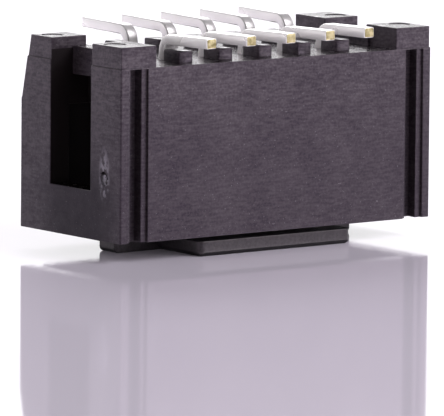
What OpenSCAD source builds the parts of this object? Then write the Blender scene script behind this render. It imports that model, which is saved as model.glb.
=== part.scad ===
// Ten-way surface-mount box header for a ribbon-cable socket, with the pick-up cap it is placed by.
// It stands on the cap, mating face down and solder side up. X runs along the two rows of contacts,
// -Y is the plain long wall, +Y the wall with the key slot, and Z = 0 is the face it stands on.

/* [Housing] */
// Length of the housing
housing_l = 20; // [19.8:0.1:21]
// Width over the long walls
housing_w = 8.7; // [8.5:0.1:9.2]
// Height from the mating face to the solder side of the base
housing_h = 8.9; // [8.5:0.1:9.5]
// Thickness of the long walls
side_wall = 1.1; // [1:0.05:1.2]
// Thickness of the end walls
end_wall = 1.2; // [1:0.05:1.35]
// Depth of the cavity from the mating face to the base
cavity_depth = 6.5; // [6:0.1:6.8]
// Radius of the upright outer corners
corner_r = 0.1; // [0.05:0.05:0.35]
// Lead-in chamfer round the mouth of the cavity
mouth_chamfer = 0.3; // [0.1:0.05:0.35]

/* [Slots and grooves] */
// Width of the slot in each end wall
slot_w = 3.48; // [2.6:0.02:3.6]
// Height of the slot's closed end above the mating face
slot_floor = 2.5; // [1.5:0.1:4]
// Width of the key slot in the rear wall
key_w = 4.5; // [4.2:0.1:5]
// Width of the upright grooves near the corners
groove_w = 0.68; // [0.5:0.02:0.8]
// Depth of the upright grooves
groove_depth = 0.7; // [0.4:0.02:0.72]
// Width of the shallow recess that each groove is cut in
recess_w = 1.22; // [1.1:0.02:1.4]
// Depth of the shallow recess
recess_depth = 0.15; // [0.08:0.01:0.25]
// Width of the strip left between a recess and the corner
recess_inset = 0.5; // [0.4:0.05:0.8]

/* [Solder side] */
// Length of a corner post along X
post_l = 2.2; // [1.8:0.1:2.4]
// Width of a corner post along Y
post_w = 2.55; // [2:0.05:2.6]
// Height of the posts above the base
post_h = 1.1; // [0.8:0.1:1.4]
// Step in from the walls to the posts
post_step = 0.06; // [0.04:0.01:0.1]
// Height of the end bridges above the base
bridge_rise = 0.6; // [0.3:0.05:0.7]
// Length of a foot rest, out from the contact
rest_l = 1.35; // [1:0.05:1.5]
// Width of a foot rest along the row
rest_w = 0.9; // [0.7:0.05:1.2]
// Height of a foot rest above the base
rest_h = 0.57; // [0.3:0.01:0.6]

/* [Contacts] */
// Side of the square pins
pin_size = 0.64; // [0.6:0.01:0.66]
// Thickness of the formed tails
tail_t = 0.54; // [0.46:0.01:0.58]
// Inside radius of the tail's bend
bend_r = 0.3; // [0.2:0.05:0.4]
// Distance from the middle plane to the tips of the feet
foot_reach = 5.4; // [5:0.1:6]
// Height of the front row's feet above the base, at the bend, to the middle of the metal
front_foot_h = 1.05; // [1:0.01:1.2]
// Height of the rear row's feet above the base, at the bend, to the middle of the metal
rear_foot_h = 1.25; // [1:0.01:1.3]
// Rise of the feet towards their tips, in degrees
foot_rise = 1.3; // [0:0.1:3]
// Distance of the pin tips inside the mating face
pin_recess = 0.5; // [0.3:0.1:1.5]

/* [Pick-up cap] */
// Length of the cap's pad along X
pad_l = 9.8; // [8:0.1:11]
// Width of the cap's pad along Y
pad_w = 8.6; // [7:0.1:9]
// Thickness of the pad
pad_t = 0.8; // [0.6:0.05:1]
// Gap left between the pad and the mating face
pad_gap = 0.23; // [0.1:0.01:0.4]
// Length of the keel that runs between the rows
keel_l = 15.3; // [12:0.1:16.5]
// Width of the keel
keel_w = 1.3; // [1:0.05:1.5]
// Reach of the keel into the cavity
keel_reach = 2.3; // [1.8:0.1:2.6]

/* [Hidden] */
$fn = 48;

// Contact grid: odd contacts stand in the front row, even ones in the rear row.
pitch = 2.54;
per_row = 5;
front = -1;
rear = 1;

// Heights.
mating_z = pad_t + pad_gap;
base_z = mating_z + housing_h;
cavity_z = mating_z + cavity_depth;
tip_z = mating_z + pin_recess;

// The end slots reach past the end walls to the bridges, which are hollow below.
slot_depth = end_wall + 0.2;
bridge_l = 1;
bridge_t = 0.85;

// Each tail leans out inside a pocket before it leaves the base.
pocket_depth = 1.5;
lean_z = base_z - pocket_depth;
lean = 8;
pocket_clear = 0.04;
pocket_outer = pitch / 2 + pocket_depth * tan(lean) + tail_t / 2 + pocket_clear;
bend_mid_r = bend_r + tail_t / 2;
pin_taper = 0.6;
pin_tip = 0.3;

// Each groove is set off from the middle of its recess towards -X, and both stop just below the base.
groove_offset = 0.07;
groove_stop = 0.05;

// The bevel on the corner by contact 2 tells which way round the header goes.
bevel_w = 0.8;
bevel_h = 3.7;

// Marks left by moulding: the ejector pins' discs on the posts, and the gate on one end wall.
ejector_d = 1.15;
ejector_depth = 0.04;
gate_y = -2.95;
gate_z = mating_z + 3.2;
gate_d = 0.68;
gate_depth = 0.12;

housing_colour = "#383438";
contact_colour = "#dcdad4";
cap_colour = "#2c2a2d";

// A block centred in X and Y that stands on z = 0.
module slab(l, w, h) translate([-l / 2, -w / 2, 0]) cube([l, w, h]);

// A rectangle with round corners.
module round_rect(l, w, r) {
    square([l - 2 * r, w], center = true);
    square([l, w - 2 * r], center = true);
    for (x = [-1, 1], y = [-1, 1]) translate([x * (l / 2 - r), y * (w / 2 - r)]) circle(r);
}

// Children repeated at the four corners.
module at_corners() {
    for (x = [0, 1], y = [0, 1]) mirror([x, 0, 0]) mirror([0, y, 0]) children();
}

// Children repeated at the two ends.
module at_ends() {
    for (x = [0, 1]) mirror([x, 0, 0]) children();
}

// Place of contact n along its row, and the side of the middle plane its row is on.
function contact_x(n) = (floor((n - 1) / 2) - (per_row - 1) / 2) * pitch;
function contact_side(n) = n % 2 == 1 ? front : rear;

// Children moved to contact n, with +Y pointing out along its foot.
module at_contact(n) {
    translate([contact_x(n), 0, 0]) mirror([0, contact_side(n) == front ? 1 : 0, 0]) children();
}

// ---- Housing ----

// Cavity for the socket, with a lead-in all round its mouth.
module cavity() {
    l = housing_l - 2 * end_wall;
    w = housing_w - 2 * side_wall;
    translate([0, 0, mating_z - 1]) slab(l, w, cavity_depth + 1);
    translate([0, 0, mating_z]) {
        rotate([90, 0, 90]) linear_extrude(l, center = true) mouth_outline(w);
        rotate([90, 0, 0]) linear_extrude(w, center = true) mouth_outline(l);
    }
}

// Section of the lead-in across a mouth of width w.
module mouth_outline(w) {
    c = mouth_chamfer;
    polygon([[-w / 2 - 2 * c, -c], [w / 2 + 2 * c, -c], [w / 2, c], [-w / 2, c]]);
}

// Slot through an end wall, from its closed end to the solder side, and the hollow below the bridge.
module end_slot() {
    translate([housing_l / 2 - slot_depth, -slot_w / 2, mating_z + slot_floor])
        cube([slot_depth + 1, slot_w, housing_h + post_h]);
    translate([housing_l / 2 - slot_depth - bridge_l, -slot_w / 2, cavity_z - 1])
        cube([bridge_l + 1, slot_w, housing_h - cavity_depth - bridge_t + 1]);
}

// Upright cut in a long wall, with its middle at x, open at the mating face.
module upright_cut(x, w, depth) {
    translate([x - w / 2, housing_w / 2 - depth, mating_z - 1])
        cube([w, depth + 1, housing_h - groove_stop + 1]);
}

// Groove near one end of a long wall, with the shallow recess that it is cut in.
module groove(end) {
    middle = end * (housing_l / 2 - recess_inset - recess_w / 2);
    upright_cut(middle, recess_w, recess_depth);
    upright_cut(middle - groove_offset, groove_w, groove_depth);
}

// Key slot in the rear wall.
module key_slot() {
    translate([-key_w / 2, housing_w / 2 - side_wall - 0.5, mating_z - 1])
        cube([key_w, side_wall + 1, cavity_depth + 1]);
}

// Corner post that keeps the base off the board.
module post() {
    translate([
        housing_l / 2 - post_step - post_l / 2,
        housing_w / 2 - post_step - post_w / 2,
        base_z - 1
    ])
        linear_extrude(post_h + 1) round_rect(post_l, post_w, corner_r / 2);
}

// Shallow disc that an ejector pin leaves on a post.
module ejector_mark() {
    translate([
        housing_l / 2 - post_step - 0.75,
        housing_w / 2 - post_step - post_w * 0.62,
        base_z + post_h - ejector_depth
    ])
        cylinder(d = ejector_d, h = 1);
}

// Bridge across an end of the base, between two posts.
module bridge() {
    translate([housing_l / 2 - slot_depth - bridge_l, -slot_w / 2 - 0.3, base_z - bridge_t])
        cube([bridge_l, slot_w + 0.6, bridge_t + bridge_rise]);
}

// Rest that carries a foot while the header is soldered, clear of the leaning tail.
module foot_rest() {
    inner = pocket_outer + rest_h * tan(lean);
    translate([-rest_w / 2, inner, base_z - 0.5]) cube([rest_w, rest_l, rest_h + 0.5]);
}

// Square hole for a contact, widening outwards into the pocket that its tail leans in.
module contact_hole() {
    translate([-pin_size / 2, pitch / 2 - pin_size / 2, cavity_z - 1])
        cube([pin_size, pin_size, housing_h]);
    translate([-pin_size / 2 - pocket_clear, pitch / 2 - pin_size / 2, lean_z])
        cube([pin_size + 2 * pocket_clear, pocket_outer - pitch / 2 + pin_size / 2, pocket_depth + 1]);
}

// Slanting cut on the rear corner by contact 2.
module corner_bevel() {
    top = base_z + post_h;
    translate([-housing_l / 2 - 1, 0, 0]) rotate([90, 0, 90]) linear_extrude(post_l + post_step + 1)
        polygon([
            [housing_w / 2, top - bevel_h],
            [housing_w / 2 + 1, top - bevel_h],
            [housing_w / 2 + 1, top + 1],
            [housing_w / 2 - bevel_w * (1 + 1 / bevel_h), top + 1]
        ]);
}

// Pit where the gate was broken off, with the stub still in it.
module gate_pit() {
    translate([-housing_l / 2 + gate_depth, gate_y, gate_z]) rotate([0, -90, 0]) difference() {
        union() {
            cylinder(d = gate_d, h = 1);
            translate([0.12, 0.05, 0]) cylinder(d = gate_d * 0.8, h = 1);
        }
        translate([0.1, -0.04, -1]) cylinder(d = gate_d * 0.4, h = 1 + gate_depth * 0.8);
    }
}

module housing() {
    color(housing_colour) difference() {
        union() {
            translate([0, 0, mating_z]) linear_extrude(housing_h)
                round_rect(housing_l, housing_w, corner_r);
            at_corners() post();
            at_ends() bridge();
            for (n = [1 : 2 * per_row]) at_contact(n) foot_rest();
        }
        cavity();
        at_ends() end_slot();
        for (end = [-1, 1], side = [0, 1]) mirror([0, side, 0]) groove(end);
        at_corners() ejector_mark();
        key_slot();
        for (n = [1 : 2 * per_row]) at_contact(n) contact_hole();
        corner_bevel();
        gate_pit();
    }
}

// ---- Contacts ----

function direction(a) = [cos(a), sin(a)];

// Points on an arc about c, from angle a to angle b.
function arc(c, r, a, b, steps = 12) = [for (i = [0 : steps]) c + r * direction(a + (b - a) * i / steps)];

// Outline of a contact from the side: pin, leaning tail, bend and foot. The first coordinate runs
// out from the middle plane and the second up; foot_h is the foot's height above the base.
module contact_side_view(foot_h) {
    x = pitch / 2;
    half = pin_size / 2;
    bend_end = [0, base_z + foot_h];
    bend_z = bend_end.y - bend_mid_r * cos(foot_rise);
    leg_end_z = bend_z + bend_mid_r * sin(lean);
    leg_end_x = x + (leg_end_z - lean_z) * tan(lean);
    bend_c = [leg_end_x + bend_mid_r * cos(lean), bend_z];
    start = [x, lean_z];
    across = direction(-lean) * tail_t / 2;
    along = direction(foot_rise);
    up = direction(90 + foot_rise);
    foot_l = (foot_reach - bend_c.x) / cos(foot_rise);
    outer = bend_c + up * (bend_r + tail_t);
    inner = bend_c + up * bend_r;
    polygon(concat(
        [
            [x - pin_tip / 2, tip_z],
            [x - half, tip_z + pin_taper],
            [x - half, lean_z],
            start - across
        ],
        arc(bend_c, bend_r + tail_t, 180 - lean, 90 + foot_rise),
        [outer + along * foot_l, inner + along * foot_l],
        arc(bend_c, bend_r, 90 + foot_rise, 180 - lean),
        [
            start + across,
            [x + half, lean_z],
            [x + half, tip_z + pin_taper],
            [x + pin_tip / 2, tip_z]
        ]
    ));
}

// Outline of a contact from the front.
module contact_front_view() {
    half = pin_size / 2;
    polygon([
        [-pin_tip / 2, tip_z],
        [pin_tip / 2, tip_z],
        [half, tip_z + pin_taper],
        [half, base_z + 3],
        [-half, base_z + 3],
        [-half, tip_z + pin_taper]
    ]);
}

module contact(n) {
    foot_h = contact_side(n) == front ? front_foot_h : rear_foot_h;
    color(contact_colour) at_contact(n) intersection() {
        rotate([90, 0, 90]) linear_extrude(pin_size, center = true) contact_side_view(foot_h);
        rotate([90, 0, 0]) linear_extrude(3 * foot_reach, center = true) contact_front_view();
    }
}

// ---- Pick-up cap ----

pad_corner_r = 0.4;
pad_edge = 0.22;
keel_end_r = 0.25;

// Section of the pad across a width w, with its two lower edges chamfered.
module pad_section(w) {
    polygon([
        [-w / 2 + pad_edge, 0],
        [w / 2 - pad_edge, 0],
        [w / 2, pad_edge],
        [w / 2, pad_t],
        [-w / 2, pad_t],
        [-w / 2, pad_edge]
    ]);
}

// Flat pad that the placing nozzle holds.
module pad() {
    intersection() {
        linear_extrude(pad_t) round_rect(pad_l, pad_w, pad_corner_r);
        rotate([90, 0, 0]) linear_extrude(2 * pad_w, center = true) pad_section(pad_l);
        rotate([90, 0, 90]) linear_extrude(2 * pad_l, center = true) pad_section(pad_w);
    }
}

// Keel between the rows, rounded at its ends and thinned where it enters the cavity.
module keel() {
    h = mating_z + keel_reach;
    rotate([90, 0, 0]) linear_extrude(keel_w, center = true)
        translate([0, h / 2]) round_rect(keel_l, h, keel_end_r);
}

// Ribs that wedge the keel between opposite pins.
module grip_ribs() {
    rib_l = 0.5;
    rib_z = tip_z + pin_taper;
    for (x = [-pitch, pitch])
        translate([x, 0, rib_z]) slab(rib_l, pitch - pin_size, mating_z + keel_reach - keel_end_r - rib_z);
}

module pickup_cap() {
    color(cap_colour) union() {
        pad();
        keel();
        grip_ribs();
    }
}

housing();
contact(1);  // contact_1
contact(2);  // contact_2
contact(3);  // contact_3
contact(4);  // contact_4
contact(5);  // contact_5
contact(6);  // contact_6
contact(7);  // contact_7
contact(8);  // contact_8
contact(9);  // contact_9
contact(10);  // contact_10
pickup_cap();
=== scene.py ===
"""Ten-way surface-mount box header, solder side up, standing on its pick-up cap on a glossy floor."""

from math import radians

import bmesh
import bpy
from mathutils import Matrix, Vector


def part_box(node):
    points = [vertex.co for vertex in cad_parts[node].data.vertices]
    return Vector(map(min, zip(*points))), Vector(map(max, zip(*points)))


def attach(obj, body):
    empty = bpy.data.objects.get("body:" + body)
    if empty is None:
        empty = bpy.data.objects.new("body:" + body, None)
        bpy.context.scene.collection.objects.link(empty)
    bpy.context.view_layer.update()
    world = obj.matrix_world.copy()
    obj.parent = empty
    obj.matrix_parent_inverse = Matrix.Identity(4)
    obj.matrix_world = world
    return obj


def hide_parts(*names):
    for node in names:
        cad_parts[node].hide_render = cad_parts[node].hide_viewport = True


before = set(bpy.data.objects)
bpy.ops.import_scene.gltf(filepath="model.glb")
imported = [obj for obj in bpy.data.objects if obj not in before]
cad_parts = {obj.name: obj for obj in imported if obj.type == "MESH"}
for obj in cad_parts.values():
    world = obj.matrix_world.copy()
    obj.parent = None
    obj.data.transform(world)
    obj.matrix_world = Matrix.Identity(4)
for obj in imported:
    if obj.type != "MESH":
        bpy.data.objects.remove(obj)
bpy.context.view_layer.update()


# ---- Camera ----
# A long lens a good third of a metre away. It looks down a little on the front wall and the left
# end of the header.

camera_data = bpy.data.cameras.new("camera")
camera_data.sensor_width = 36
camera_data.lens = 596.8
camera = bpy.data.objects.new("camera", camera_data)
bpy.context.scene.collection.objects.link(camera)
bpy.context.scene.camera = camera

camera_place = Vector((-0.228794, -0.301107, 0.050947))
yaw = radians(37.198)
pitch_down = radians(7.416)
roll = radians(0.507)
turn = Matrix.Rotation(-yaw, 4, "Z") @ Matrix.Rotation(radians(90) - pitch_down, 4, "X")
camera.matrix_world = Matrix.Translation(camera_place) @ turn @ Matrix.Rotation(roll, 4, "Z")


# ---- Housing ----
# The shroud, base, corner posts and foot rests are one moulding in black glass-filled plastic that
# stands the heat of soldering. The mould leaves soft edges, a fine grain and a broken-off gate.

housing_low, housing_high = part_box("housing")
post_top = housing_high.z
post_inner_y, post_outer_y = 0.0019, 0.0041
base_top = 0.00993
bridge_top = base_top + 0.0005
bridge_underside = base_top - 0.0009
mid_wall_y = 0.0036
slot_half_width = 0.0018
slot_back_x = 0.0077
groove_top = base_top - 0.00005
groove_inner_x = 0.0082
rests_end_x = 0.0070
gate = Vector((housing_low.x, -0.00295, 0.00423))
rest_radius = 0.00009
wall_radius = 0.00004


def is_flat(edge):
    """True where the two faces at an edge lie in one plane."""
    return edge.is_manifold and edge.calc_face_angle() < radians(0.5)


def is_slanting(edge):
    """True on a line across a flat face that runs square to none of the axes."""
    along = (edge.verts[1].co - edge.verts[0].co).normalized()
    return is_flat(edge) and max(abs(step) for step in along) < 0.9999


def copy_of(node, name):
    """A new object and its shape, from the node, with flat faces joined up and divided square."""
    shape = bmesh.new()
    shape.from_mesh(node.data)
    bmesh.ops.remove_doubles(shape, verts=shape.verts[:], dist=2e-7)
    bmesh.ops.dissolve_limit(
        shape, angle_limit=radians(0.5), use_dissolve_boundaries=False,
        verts=shape.verts[:], edges=shape.edges[:], delimit=set(),
    )
    cuts = [
        (vert.co.copy(), edge.link_faces[0].normal.copy())
        for edge in shape.edges if is_slanting(edge) for vert in edge.verts
    ]
    for place, facing in cuts:
        for axis in (Vector((1, 0, 0)), Vector((0, 1, 0)), Vector((0, 0, 1))):
            if abs(facing.dot(axis)) > 0.9:
                continue
            in_plane = [
                face for face in shape.faces
                if face.normal.dot(facing) > 0.9999 and abs((face.verts[0].co - place).dot(facing)) < 1e-7
            ]
            rims = {edge for face in in_plane for edge in face.edges}
            corners = {vert for face in in_plane for vert in face.verts}
            bmesh.ops.bisect_plane(
                shape, geom=in_plane + list(rims) + list(corners), dist=5e-7, plane_co=place, plane_no=axis
            )
    slanting = [edge for edge in shape.edges if is_slanting(edge)]
    bmesh.ops.dissolve_edges(shape, edges=slanting, use_verts=True)
    piece = bpy.data.objects.new(name, bpy.data.meshes.new(name))
    bpy.context.scene.collection.objects.link(piece)
    return piece, shape


def soften(shape, radius, steps=2, where=lambda edge: True):
    """Round the outward edges of a moulding or a stamping, and return the faces of the rounding."""
    edges = [
        edge for edge in shape.edges
        if edge.is_manifold and edge.calc_face_angle_signed() > radians(25) and where(edge)
    ]
    rounding = bmesh.ops.bevel(
        shape, geom=edges, offset=radius, offset_type="OFFSET", segments=steps, profile=0.5,
        affect="EDGES", clamp_overlap=False,
    )
    return set(rounding["faces"])


def finish_mesh(piece, shape, rounding):
    """Write the shape into the piece, smooth on its roundings and bends and flat elsewhere."""
    for face in shape.faces:
        face.smooth = True
    for edge in shape.edges:
        on_rounding = all(face in rounding for face in edge.link_faces)
        edge.smooth = edge.calc_face_angle(0) < radians(45 if on_rounding else 20)
    bmesh.ops.triangulate(shape, faces=[face for face in shape.faces if len(face.verts) > 4])
    shape.to_mesh(piece.data)
    shape.free()


def middle_of(edge):
    return (edge.verts[0].co + edge.verts[1].co) / 2


def on_rest(edge):
    """True on the edges of the ten foot rests, which have rounder corners than the walls."""
    middle = middle_of(edge)
    above_base = middle.z > base_top + 0.00003
    return above_base and abs(middle.x) < rests_end_x and abs(middle.y) < mid_wall_y


def on_ejector_disc(edge):
    """True on the short edges round the discs that the ejector pins leave on the posts."""
    middle = middle_of(edge)
    is_short = edge.calc_length() < 0.0002
    return is_short and middle.z > post_top - 0.00006 and post_inner_y < abs(middle.y) < post_outer_y


def in_gate_pit(edge):
    """True on the pit and the stub that the gate leaves on the left end."""
    middle = middle_of(edge)
    return middle.x < housing_low.x + 0.00015 and (middle.yz - gate.yz).length < 0.0005


def on_groove_ledge(edge):
    """True on the ledges where the grooves of the long walls stop, just below the base."""
    middle = middle_of(edge)
    return abs(middle.z - groove_top) < 0.00002 and abs(middle.x) > groove_inner_x


def at_bevel_end(edge):
    """True where the bevel of the rear-left corner runs out into the wall."""
    middle = middle_of(edge)
    return middle.x < -0.00985 and middle.y > 0.0042 and 0.0072 < middle.z < 0.0078


def on_wall(edge):
    """True on the edges of the walls, base and posts, but not on marks too small to round."""
    marks = (on_ejector_disc, in_gate_pit, on_groove_ledge, at_bevel_end)
    return not on_rest(edge) and not any(is_on_mark(edge) for is_on_mark in marks)


housing, housing_shape = copy_of(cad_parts["housing"], "housing_moulding")
housing_rounding = soften(housing_shape, rest_radius, 3, on_rest)
housing_rounding |= soften(housing_shape, wall_radius, 2, on_wall)
finish_mesh(housing, housing_shape, housing_rounding)


class Finish:
    """A material with its Principled shader and short ways to lay grain, colour and wear on it."""

    def __init__(self, name):
        self.material = bpy.data.materials.new(name)
        self.material.use_nodes = True
        self.nodes = self.material.node_tree.nodes
        self.shader = self.nodes["Principled BSDF"]
        self.place = self.add("ShaderNodeTexCoord").outputs["Object"]

    def add(self, kind, **settings):
        node = self.nodes.new(kind)
        for setting, value in settings.items():
            setattr(node, setting, value)
        return node

    def join(self, source, socket):
        self.material.node_tree.links.new(source, socket)

    def noise(self, grain, detail=3.0, stretch=(1, 1, 1)):
        """Noise whose grain is given in millimetres."""
        mapping = self.add("ShaderNodeMapping")
        mapping.inputs["Scale"].default_value = [1000 / grain / side for side in stretch]
        self.join(self.place, mapping.inputs["Vector"])
        texture = self.add("ShaderNodeTexNoise")
        texture.inputs["Scale"].default_value = 1.0
        texture.inputs["Detail"].default_value = detail
        self.join(mapping.outputs["Vector"], texture.inputs["Vector"])
        return texture.outputs["Fac"]

    def ramp(self, source, low, high, low_value=0.0, high_value=1.0):
        """Source remapped from low..high to low_value..high_value."""
        node = self.add("ShaderNodeMapRange")
        node.inputs["From Min"].default_value = low
        node.inputs["From Max"].default_value = high
        node.inputs["To Min"].default_value = low_value
        node.inputs["To Max"].default_value = high_value
        self.join(source, node.inputs["Value"])
        return node.outputs["Result"]

    def combine(self, operation, first, second=0):
        """The result of one of Blender's maths operations on two sources or numbers."""
        node = self.add("ShaderNodeMath", operation=operation)
        for socket, value in zip(node.inputs, (first, second)):
            if isinstance(value, (int, float)):
                socket.default_value = value
            else:
                self.join(value, socket)
        return node.outputs["Value"]

    def product(self, *factors):
        result = factors[0]
        for factor in factors[1:]:
            result = self.combine("MULTIPLY", result, factor)
        return result

    def distance(self, source):
        """How far source is from 0, either way."""
        return self.combine("ABSOLUTE", source)

    def under(self, source, limit):
        """1 where source is below the limit, 0 elsewhere."""
        return self.combine("LESS_THAN", source, limit)

    def over(self, source, limit):
        """1 where source is above the limit, 0 elsewhere."""
        return self.combine("GREATER_THAN", source, limit)

    def blend(self, share, first, second):
        """Colour that goes from first to second as the share goes from 0 to 1."""
        node = self.add("ShaderNodeMix", data_type="RGBA")
        if isinstance(share, (int, float)):
            node.inputs["Factor"].default_value = share
        else:
            self.join(share, node.inputs["Factor"])
        colour_sockets = [socket for socket in node.inputs if socket.type == "RGBA"]
        for socket, value in zip(colour_sockets, (first, second)):
            if isinstance(value, tuple):
                socket.default_value = (*value, 1)
            else:
                self.join(value, socket)
        return next(socket for socket in node.outputs if socket.type == "RGBA")

    def axis(self, name):
        """The place along X, Y or Z, in metres."""
        split = self.add("ShaderNodeSeparateXYZ")
        self.join(self.place, split.inputs["Vector"])
        return split.outputs[name]

    def facing(self, name):
        """How far the surface faces along X, Y or Z, from -1 to 1."""
        split = self.add("ShaderNodeSeparateXYZ")
        self.join(self.add("ShaderNodeNewGeometry").outputs["Normal"], split.inputs["Vector"])
        return split.outputs[name]

    def spot(self, centre, width, height):
        """1 at the centre of an oval on the left end, falling to 0 at its rim."""
        across = self.combine("DIVIDE", self.combine("SUBTRACT", self.axis("Y"), centre.y), width / 2)
        up = self.combine("DIVIDE", self.combine("SUBTRACT", self.axis("Z"), centre.z), height / 2)
        to_rim = self.combine("ADD", self.product(across, across), self.product(up, up))
        at_wall = self.under(self.axis("X"), centre.x + 0.00015)
        return self.product(self.ramp(to_rim, 1.0, 0.2), at_wall)

    def bump(self, height, depth, strength):
        node = self.add("ShaderNodeBump")
        node.inputs["Strength"].default_value = strength
        node.inputs["Distance"].default_value = depth
        self.join(height, node.inputs["Height"])
        self.join(node.outputs["Normal"], self.shader.inputs["Normal"])


plastic = Finish("housing_plastic")
plastic.shader.inputs["Specular IOR Level"].default_value = 0.88
plastic.shader.inputs["IOR"].default_value = 1.6

# The mould's grain, fine streaks along the flow and faint clouds show in how strongly it shines.
speckle = plastic.ramp(plastic.noise(0.14, 2.0), 0.38, 0.62)
streaks = plastic.ramp(plastic.noise(0.12, 2.0, (5, 5, 1)), 0.40, 0.60)
clouds = plastic.ramp(plastic.noise(2.4, 3.0), 0.3, 0.7)
grain = plastic.combine("ADD", plastic.product(streaks, 0.35), plastic.product(clouds, 0.30))
grain = plastic.combine("ADD", plastic.product(speckle, 0.35), grain)

# Painted shade: the shine is turned down toward the mouth, and most in a painted dark patch under the slot
# of the left end.
painted_shade_toward_mouth = plastic.ramp(plastic.axis("Z"), 0.0050, base_top, 0.62, 1.0)
painted_dark_patch = plastic.spot(Vector((housing_low.x, -0.0008, 0.0022)), 0.0075, 0.0075)
shine = plastic.blend(plastic.product(grain, painted_shade_toward_mouth), (0.24, 0.18, 0.29), (1.0, 0.84, 1.0))
shine = plastic.blend(plastic.product(painted_dark_patch, 0.85), shine, (0.03, 0.01, 0.08))

# Painted shade: the faces inside the walls and the end slots are given much less shine, so that they stay
# dark.
off_middle_x = plastic.distance(plastic.axis("X"))
off_middle_y = plastic.distance(plastic.axis("Y"))
inside_walls = plastic.product(
    plastic.under(off_middle_y, mid_wall_y), plastic.under(off_middle_x, housing_high.x - 0.00003)
)
slot_side = plastic.product(
    plastic.under(plastic.axis("Z"), bridge_top),
    plastic.under(off_middle_y, slot_half_width),
    plastic.over(plastic.distance(plastic.facing("Y")), 0.5),
    plastic.over(off_middle_x, slot_back_x),
)
below_bridge = plastic.under(plastic.axis("Z"), bridge_underside)
painted_shade_inside = plastic.product(inside_walls, plastic.combine("MAXIMUM", below_bridge, slot_side))
shine = plastic.blend(painted_shade_inside, shine, (0.20, 0.16, 0.19))
plastic.join(shine, plastic.shader.inputs["Specular Tint"])

# Pale specks of glass, pale scuffs above and below the gate, and the torn stub in its pit.
specks = plastic.ramp(plastic.noise(0.09, 1.0), 0.71, 0.78)
scuffs = plastic.product(
    plastic.spot(gate + Vector((0, 0, 0.0002)), 0.0010, 0.0030),
    plastic.ramp(plastic.noise(0.24, 4.0, (1, 1, 1.3)), 0.44, 0.54),
)
stub = plastic.spot(gate + Vector((0, 0.00012, 0)), 0.00040, 0.00045)
black = plastic.blend(specks, (0.010, 0.007, 0.008), (0.09, 0.08, 0.09))
# Painted shade: the same faces inside the walls and end slots are made darker in colour too.
black = plastic.blend(painted_shade_inside, black, (0.003, 0.002, 0.002))
black = plastic.blend(plastic.combine("MAXIMUM", scuffs, stub), black, (0.12, 0.11, 0.13))
plastic.join(black, plastic.shader.inputs["Base Color"])

# The faces of the solder side are smooth, the others carry a fine spark-eroded grain.
upward = plastic.ramp(plastic.facing("Z"), 0.9, 0.98)
roughness = plastic.ramp(plastic.noise(0.5), 0.3, 0.7, 0.42, 0.54)
plastic_roughness = plastic.combine("SUBTRACT", roughness, plastic.product(upward, 0.25))
plastic.join(plastic_roughness, plastic.shader.inputs["Roughness"])
plastic.bump(plastic.noise(0.10, 4.0), 0.000008, 0.6)

housing.data.materials.append(plastic.material)
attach(housing, "root")
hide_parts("housing")


# ---- Contacts ----
# Ten pins formed from square brass wire, plated with bright tin before they are cut to length, so
# that the cut ends of the feet show brass. They are pressed into the base and bent over its rests.

contact_radius = 0.00008

tin = Finish("tinned_contact")
tin.shader.inputs["Metallic"].default_value = 0.58
bright_tin = tin.blend(tin.ramp(tin.noise(1.5, 1.0), 0.3, 0.7), (0.88, 0.84, 0.855), (0.95, 0.91, 0.925))
tin.join(tin.ramp(tin.noise(1.2, 1.0), 0.3, 0.7, 0.26, 0.34), tin.shader.inputs["Roughness"])

# Painted shade: the rear row keeps bright sides, and is painted greyer on its edges and bends, and darker
# still on its underside.
off_sides = tin.ramp(tin.distance(tin.facing("X")), 0.98, 0.80)
rear_row = tin.over(tin.axis("Y"), 0)
below_bend = tin.ramp(tin.facing("Z"), 0.60, 0.15)
painted_shade_tin = tin.blend(below_bend, (0.56, 0.53, 0.55), (0.20, 0.19, 0.195))
tin_colour = tin.blend(tin.product(off_sides, rear_row), bright_tin, painted_shade_tin)
tin.join(tin_colour, tin.shader.inputs["Base Color"])

cut_brass = Finish("cut_brass")
cut_brass.shader.inputs["Metallic"].default_value = 1.0
brass_mottle = cut_brass.ramp(cut_brass.noise(0.22, 3.0), 0.35, 0.65)
brass_colour = cut_brass.blend(brass_mottle, (0.22, 0.18, 0.08), (0.54, 0.46, 0.28))
brass_roughness = cut_brass.ramp(cut_brass.noise(0.1), 0.3, 0.7, 0.35, 0.55)
cut_brass.join(brass_colour, cut_brass.shader.inputs["Base Color"])
cut_brass.join(brass_roughness, cut_brass.shader.inputs["Roughness"])

for number in range(1, 11):
    name = f"contact_{number}"
    contact, contact_shape = copy_of(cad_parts[name], f"{name}_formed")
    low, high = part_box(name)
    tip = max(abs(low.y), abs(high.y))
    contact_rounding = soften(contact_shape, contact_radius, 3)
    for face in contact_shape.faces:
        is_cut = abs(face.calc_center_median().y) > tip - 0.00002 and abs(face.normal.y) > 0.9
        face.material_index = 1 if is_cut else 0
    finish_mesh(contact, contact_shape, contact_rounding)
    contact.data.materials.append(tin.material)
    contact.data.materials.append(cut_brass.material)
    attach(contact, "root")
    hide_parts(name)


# ---- Pick-up cap ----
# A smooth pad that the placing nozzle holds, with a keel pressed in between the pin rows. It is a
# separate black moulding, pulled off by hand once the header is soldered.

cap_radius = 0.00004
cap, cap_shape = copy_of(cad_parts["pickup_cap"], "pickup_cap_moulding")
cap_rounding = soften(cap_shape, cap_radius)
finish_mesh(cap, cap_shape, cap_rounding)

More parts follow.
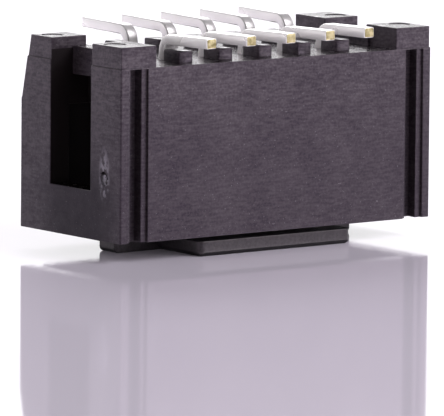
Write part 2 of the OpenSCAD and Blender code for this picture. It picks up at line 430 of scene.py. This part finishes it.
cap_plastic = Finish("cap_plastic")
cap_plastic.shader.inputs["Specular IOR Level"].default_value = 0.56
# Painted shade: faces of the cap that look down are given less shine and a darker colour.
downward = cap_plastic.ramp(cap_plastic.facing("Z"), -0.2, -0.6)
cap_shine = cap_plastic.blend(downward, (1.0, 0.87, 0.98), (0.05, 0.04, 0.05))
cap_plastic.join(cap_shine, cap_plastic.shader.inputs["Specular Tint"])
cap_speckle = cap_plastic.ramp(cap_plastic.noise(0.14), 0.35, 0.65)
cap_colour = cap_plastic.blend(cap_speckle, (0.003, 0.0025, 0.003), (0.018, 0.0155, 0.018))
cap_colour = cap_plastic.blend(downward, cap_colour, (0.003, 0.002, 0.003))
cap_plastic.join(cap_colour, cap_plastic.shader.inputs["Base Color"])
cap_roughness = cap_plastic.ramp(cap_plastic.noise(0.6), 0.3, 0.7, 0.32, 0.46)
cap_plastic.join(cap_roughness, cap_plastic.shader.inputs["Roughness"])
cap_plastic.bump(cap_plastic.noise(0.12, 3.0), 0.000004, 0.5)

cap.data.materials.append(cap_plastic.material)
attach(cap, "root")
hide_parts("pickup_cap")


# ---- Floor and light ----
# A white glossy sheet that mirrors the header and takes its soft shadow. Two soft lamps and the
# walls of a white tent light it evenly.

floor_shape = bmesh.new()
bmesh.ops.create_circle(floor_shape, cap_ends=True, segments=96, radius=0.9)
floor = bpy.data.objects.new("floor", bpy.data.meshes.new("floor"))
floor_shape.to_mesh(floor.data)
floor_shape.free()
bpy.context.scene.collection.objects.link(floor)

sheet = bpy.data.materials.new("glossy_sheet")
sheet.use_nodes = True
sheet_nodes = sheet.node_tree.nodes
sheet_nodes.remove(sheet_nodes["Principled BSDF"])
matt = sheet_nodes.new("ShaderNodeBsdfDiffuse")
matt.inputs["Color"].default_value = (0.470, 0.427, 0.503, 1)
mirror = sheet_nodes.new("ShaderNodeBsdfAnisotropic")
mirror.inputs["Color"].default_value = (0.72, 0.72, 0.72, 1)
mirror.inputs["Roughness"].default_value = 0.06
both = sheet_nodes.new("ShaderNodeAddShader")
sheet.node_tree.links.new(matt.outputs[0], both.inputs[0])
sheet.node_tree.links.new(mirror.outputs[0], both.inputs[1])
sheet.node_tree.links.new(both.outputs[0], sheet_nodes["Material Output"].inputs["Surface"])
floor.data.materials.append(sheet)


def lamp(name, place, power):
    """A round soft lamp that points at the middle of the header."""
    data = bpy.data.lights.new(name, "AREA")
    data.shape = "DISK"
    data.size = 0.30
    data.energy = power
    light = bpy.data.objects.new(name, data)
    light.location = place
    header_middle = Vector((0, 0, 0.006))
    light.rotation_euler = (header_middle - Vector(place)).to_track_quat("-Z", "Y").to_euler()
    bpy.context.scene.collection.objects.link(light)


lamp("key", (0.16, -0.28, 0.26), 1.1)
lamp("back", (0.20, 0.35, 0.25), 1.0)

world = bpy.data.worlds.new("studio")
bpy.context.scene.world = world
world.use_nodes = True
sky = world.node_tree.nodes
join_sky = world.node_tree.links.new


def fade(source, low, high, low_value, high_value):
    """Source remapped from low..high to low_value..high_value, soft at both ends."""
    node = sky.new("ShaderNodeMapRange")
    node.interpolation_type = "SMOOTHSTEP"
    for socket, value in zip(node.inputs[1:5], (low, high, low_value, high_value)):
        socket.default_value = value
    join_sky(source, node.inputs[0])
    return node.outputs[0]


def combine_sky(operation, first, second):
    node = sky.new("ShaderNodeMath")
    node.operation = operation
    join_sky(first, node.inputs[0])
    join_sky(second, node.inputs[1])
    return node.outputs[0]


def choose(share, first, second):
    """The first background where share is 0, the second where it is 1."""
    node = sky.new("ShaderNodeMixShader")
    join_sky(share, node.inputs[0])
    join_sky(first, node.inputs[1])
    join_sky(second, node.inputs[2])
    return node.outputs[0]


ray = sky.new("ShaderNodeLightPath")
way = sky.new("ShaderNodeTexCoord").outputs["Generated"]
way_parts = sky.new("ShaderNodeSeparateXYZ")
join_sky(way, way_parts.inputs[0])

# Walls of the white tent: bright near the ground, dim overhead, open where the camera looks in.
toward_gap = sky.new("ShaderNodeVectorMath")
toward_gap.operation = "DOT_PRODUCT"
toward_gap.inputs[1].default_value = (-0.70, -0.70, 0.10)
join_sky(way, toward_gap.inputs[0])
gap = fade(toward_gap.outputs["Value"], 0.80, 0.97, 1.0, 0.15)
overhead = fade(way_parts.outputs["Z"], 0.30, 0.62, 1.0, 0.32)
left_side = fade(way_parts.outputs["X"], -0.75, -0.20, 0.58, 1.0)
tent = combine_sky("MULTIPLY", combine_sky("MULTIPLY", gap, overhead), left_side)
mirrored = sky.new("ShaderNodeBackground")
join_sky(tent, mirrored.inputs["Strength"])

# What lights the matt faces comes mostly from low down, and what is seen past the floor is white.
low_band = fade(way_parts.outputs["Z"], 0.05, 0.30, 4.0, 1.25)
dim_overhead = combine_sky("MULTIPLY", overhead, overhead)
soft = sky["Background"]
join_sky(combine_sky("MULTIPLY", low_band, dim_overhead), soft.inputs["Strength"])
white = sky.new("ShaderNodeBackground")
white.inputs["Strength"].default_value = 1.0
for background in (soft, mirrored, white):
    background.inputs["Color"].default_value = (1, 1, 1, 1)

lit = choose(ray.outputs["Is Glossy Ray"], soft.outputs[0], mirrored.outputs[0])
seen = combine_sky("MAXIMUM", ray.outputs["Is Camera Ray"], ray.outputs["Is Transmission Ray"])
join_sky(choose(seen, lit, white.outputs[0]), sky["World Output"].inputs["Surface"])

bpy.context.scene.view_settings.view_transform = "Standard"
